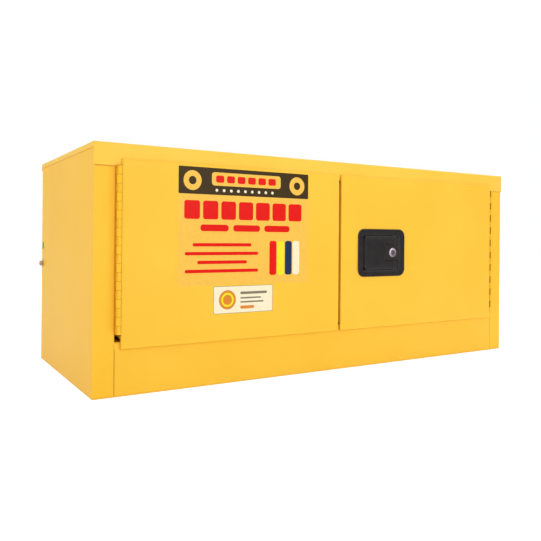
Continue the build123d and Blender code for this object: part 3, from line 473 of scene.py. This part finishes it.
class DoorLabel:
    """Printed label on the left door, laid out in mm from its own upper left corner."""

    def __init__(self, name, left, top):
        self.name = name
        self.left = left
        self.top = top
        self.count = 0

    def patch(self, ink, layer, x, z, width, height, radius):
        """Rounded patch on a layer, whose upper left corner is at x across and z down."""
        place = Vector((
            door_low.x + (self.left + x + width / 2) * MM,
            door_low.y - layer * LAYER,
            door_low.z + (self.top - z - height / 2) * MM,
        ))
        outline = rounded_outline(width * MM, height * MM, radius * MM)
        film(f"{self.name}_{self.count}", outline, FILM, place, TO_FRONT, label_inks[ink], "left_door")
        self.count += 1

    def row(self, count, pitch, ink, layer, x, z, width, height, radius):
        """So many like patches side by side, a pitch apart."""
        for step in range(count):
            self.patch(ink, layer, x + step * pitch, z, width, height, radius)

    def disc(self, ink, layer, x, z, diameter):
        """Round patch, placed by the upper left corner of the square about it."""
        self.patch(ink, layer, x, z, diameter, diameter, diameter / 2)


# Large label: a dark band with a plate and two rings, then blocks, pills, stripes and four columns.
large = DoorLabel("large_label", left=108.5, top=337.5)
large.patch("ground", layer=0, x=0, z=0, width=299, height=228, radius=2.5)
large.patch("band", layer=1, x=0, z=0, width=299, height=52, radius=2)
large.row(count=7, pitch=39.5, ink="red", layer=1, x=12, z=64, width=33, height=36, radius=5)
large.row(count=3, pitch=72, ink="red", layer=1, x=46, z=110, width=62, height=13, radius=6)
large.patch("red", layer=1, x=30, z=146, width=130, height=6.5, radius=3)
large.patch("red", layer=1, x=14, z=163, width=162, height=6.5, radius=3)
large.patch("red", layer=1, x=40, z=180, width=110, height=6.5, radius=3)
large.patch("red", layer=1, x=14, z=197, width=162, height=6.5, radius=3)
for step, column_ink in enumerate(("red", "gold", "blue", "white")):
    large.patch(column_ink, layer=1, x=203 + step * 19, z=141, width=17, height=70, radius=5)
large.patch("ground", layer=2, x=70, z=8, width=159, height=26, radius=6)
large.disc("ground", layer=2, x=10, z=7, diameter=38)
large.disc("ground", layer=2, x=251, z=7, diameter=38)
large.row(count=9, pitch=16, ink="white", layer=2, x=78, z=40, width=6, height=6, radius=3)
large.row(count=6, pitch=24, ink="red", layer=3, x=79, z=14, width=18, height=14, radius=4)
large.disc("band", layer=3, x=21, z=18, diameter=16)
large.disc("band", layer=3, x=262, z=18, diameter=16)

# Small label: a pale card with a seal and a few lines.
small = DoorLabel("small_label", left=184, top=107)
small.patch("grey", layer=0, x=0, z=0, width=136, height=54, radius=2.5)
small.patch("white", layer=1, x=0.8, z=0.8, width=134.4, height=52.4, radius=2)
small.disc("orange", layer=2, x=12, z=8, diameter=38)
small.patch("grey", layer=2, x=60, z=12, width=62, height=5, radius=2)
small.patch("grey", layer=2, x=60, z=23, width=48, height=3, radius=1.4)
small.patch("grey", layer=2, x=60, z=31, width=54, height=3, radius=1.4)
small.patch("orange", layer=2, x=60, z=40, width=32, height=6, radius=2.5)
small.disc("gold", layer=3, x=17, z=13, diameter=28)
small.disc("orange", layer=4, x=21, z=17, diameter=20)

# ---------------------------------------------------------------- seams, hinge bead and earth mark
base_low, base_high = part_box("front_base_panel")
wall_low, wall_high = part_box("left_side_panel")
pin_low, pin_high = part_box("left_hinge_pin")
cap_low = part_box("top_cap")[0]
seam_x = (base_low.x + wall_high.x) / 2 - 0.3 * MM
hinge_shadow_x = wall_high.x - 0.2 * MM
post_x = (wall_low.x + wall_high.x) / 2
cap_shadow_width = wall_high.x - wall_low.x - 2 * MM
cap_shadow_bottom = cap_low.z - 2.2 * MM
cap_shadow_top = cap_low.z - 0.1 * MM
seam_foot = 1 * MM
SEAM_FILM = 0.08 * MM
SEAM_CORNER = 0.3 * MM

# Films on the seams of the two posts, as (part, middle, bottom, top, width, finish).
# The weld is paint; below it, beside the hinge and under the top cap, the films are painted shade
# lines.
seam_parts = (
    ("weld", seam_x, door_low.z, base_high.z, 2.4 * MM, filler_paint),
    ("seam_shade", seam_x, seam_foot, door_low.z, 1.4 * MM, seam_shade_paint),
    ("hinge_shadow", hinge_shadow_x, pin_low.z, pin_high.z, 1.8 * MM, hinge_shadow_paint),
    ("cap_shadow", post_x, cap_shadow_bottom, cap_shadow_top, cap_shadow_width, cap_shadow_paint),
)
for side, name in ((1, "left"), (-1, "right")):
    for part, middle, bottom, top, width, finish in seam_parts:
        place = Vector((side * middle, base_low.y, (bottom + top) / 2))
        outline = rounded_outline(width, top - bottom, SEAM_CORNER)
        film(f"{name}_post_{part}", outline, SEAM_FILM, place, TO_FRONT, finish, "case")

# A bead of paint bridges the groove between the left door's bend and its hinge barrel. It ends just
# outside the barrel's radius, so that it clears the frame leaf when the door is folded back.
bead_width = 2.2 * MM
bead_depth = 0.26 * MM
bead_corner = 0.2 * MM
bead_back = door_low.y + 0.3 * MM
bead_left = door_low.x - 0.28 * MM
bead_place = Vector((bead_left + bead_width / 2, bead_back, (pin_low.z + pin_high.z) / 2))
bead_outline = rounded_outline(bead_width, pin_high.z - pin_low.z, bead_corner)
film("left_hinge_bead", bead_outline, bead_depth, bead_place, TO_FRONT, bead_paint, "left_door")

# The round earth mark sits above the stud, as (part, diameter, thickness, finish).
stud_low, stud_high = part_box("ground_nut")
mark_rise = 35 * MM
mark_place = Vector((wall_low.x, (stud_low.y + stud_high.y) / 2, stud_high.z + mark_rise))
mark_parts = (
    ("rim", 18 * MM, FILM, vinyl("earth_green", EARTH_GREEN)),
    ("middle", 8 * MM, 2 * FILM, vinyl("earth_pale", EARTH_PALE)),
)
for part, diameter, thickness, finish in mark_parts:
    outline = rounded_outline(diameter, diameter, diameter / 2)
    film(f"earth_mark_{part}", outline, thickness, mark_place, TO_LEFT, finish, "case")

# ---------------------------------------------------------------- floor and world
FLOOR_HALF = 6.0
FLOOR_GLOW = 0.86
AMBIENT = 0.40
floor_corners = [(x * FLOOR_HALF, y * FLOOR_HALF, 0) for x, y in ((-1, -1), (1, -1), (1, 1), (-1, 1))]
floor_mesh = bpy.data.meshes.new("floor")
floor_mesh.from_pydata(floor_corners, [], [(0, 1, 2, 3)])
floor = bpy.data.objects.new("floor", floor_mesh)
scene.collection.objects.link(floor)


def emptied(owner):
    """The node tree of a material or world, with nothing in it."""
    owner.use_nodes = True
    owner.node_tree.nodes.clear()
    return owner.node_tree


def shader(tree, kind, colour=None, strength=None):
    """Output of a new shader node in the tree."""
    node = tree.nodes.new(kind)
    if colour:
        node.inputs["Color"].default_value = colour
    if strength:
        node.inputs["Strength"].default_value = strength
    return node.outputs[0]


def show(tree, kind, lighting, seen):
    """Output node with one shader for the rays that light the object, and one for what is seen.

    What is seen is what camera, glossy and transmission rays meet.
    """
    path = tree.nodes.new("ShaderNodeLightPath")
    either = tree.nodes.new("ShaderNodeMath")
    either.operation = "MAXIMUM"
    tree.links.new(path.outputs["Is Camera Ray"], either.inputs[0])
    tree.links.new(path.outputs["Is Glossy Ray"], either.inputs[1])
    every = tree.nodes.new("ShaderNodeMath")
    every.operation = "MAXIMUM"
    tree.links.new(either.outputs[0], every.inputs[0])
    tree.links.new(path.outputs["Is Transmission Ray"], every.inputs[1])
    mix = tree.nodes.new("ShaderNodeMixShader")
    tree.links.new(every.outputs[0], mix.inputs[0])
    tree.links.new(lighting, mix.inputs[1])
    tree.links.new(seen, mix.inputs[2])
    tree.links.new(mix.outputs[0], tree.nodes.new(kind).inputs["Surface"])


pale_floor = bpy.data.materials.new("pale_floor")
tree = emptied(pale_floor)
plain = shader(tree, "ShaderNodeBsdfDiffuse", FLOOR)
both = tree.nodes.new("ShaderNodeAddShader")
tree.links.new(shader(tree, "ShaderNodeBsdfDiffuse", FLOOR_SHADED), both.inputs[0])
tree.links.new(shader(tree, "ShaderNodeEmission", strength=FLOOR_GLOW), both.inputs[1])
show(tree, "ShaderNodeOutputMaterial", plain, both.outputs[0])
floor_mesh.materials.append(pale_floor)

scene.world = bpy.data.worlds.new("studio")
tree = emptied(scene.world)
ambient = shader(tree, "ShaderNodeBackground", WHITE, AMBIENT)
backdrop = shader(tree, "ShaderNodeBackground", WHITE, 1.0)
show(tree, "ShaderNodeOutputWorld", ambient, backdrop)

# ---------------------------------------------------------------- lamps and camera
# Square area lamps, as (name, place, target, size, power in watts).
LAMPS = (
    ("key", (-0.3, -2.6, 0.8), (0, -0.2, 0.25), 1.3, 16.5),
    ("sheen", (0.75, -2.4, 0.95), (-0.2, -0.2, 0.4), 0.6, 7),
    ("side_fill", (-3.0, -0.6, 1.4), (-0.5, 0, 0.25), 1.8, 29),
    ("right_fill", (3.0, 0.4, 1.3), (0.5, 0, 0.25), 1.6, 22),
    ("back_fill", (0.4, 3.0, 1.3), (0, 0.2, 0.25), 1.8, 30),
    ("top", (1.3, -0.25, 2.6), (0, -0.1, 0.3), 1.4, 26),
)
for name, place, target, size, power in LAMPS:
    lamp = bpy.data.lights.new(name, "AREA")
    lamp.shape = "SQUARE"
    lamp.size = size
    lamp.energy = power
    holder = bpy.data.objects.new(name, lamp)
    holder.location = place
    holder.rotation_euler = (Vector(target) - Vector(place)).to_track_quat("-Z", "Y").to_euler()
    scene.collection.objects.link(holder)

# The camera stands low at the front left, as a fit of the photograph gives it.
CAMERA_PLACE = Vector((-0.8499, -1.2827, 0.2893))
YAW, PITCH, ROLL = radians(30.26), radians(0.15), radians(0.50)
forward = Vector((sin(YAW) * cos(PITCH), cos(YAW) * cos(PITCH), sin(PITCH)))
level = Vector((cos(YAW), -sin(YAW), 0))
upward = level.cross(forward)
right = cos(ROLL) * level + sin(ROLL) * upward
above = cos(ROLL) * upward - sin(ROLL) * level
lens = bpy.data.cameras.new("camera")
lens.sensor_width = 36.0
lens.lens = 40.68
lens.shift_x = 0.0388
lens.shift_y = -0.0645
lens.clip_start = 0.05
camera = bpy.data.objects.new("camera", lens)
turned = Matrix((right, above, -forward)).transposed()
camera.matrix_world = Matrix.LocRotScale(CAMERA_PLACE, turned, Vector((1, 1, 1)))
scene.collection.objects.link(camera)
scene.camera = camera
scene.view_settings.view_transform = "Standard"
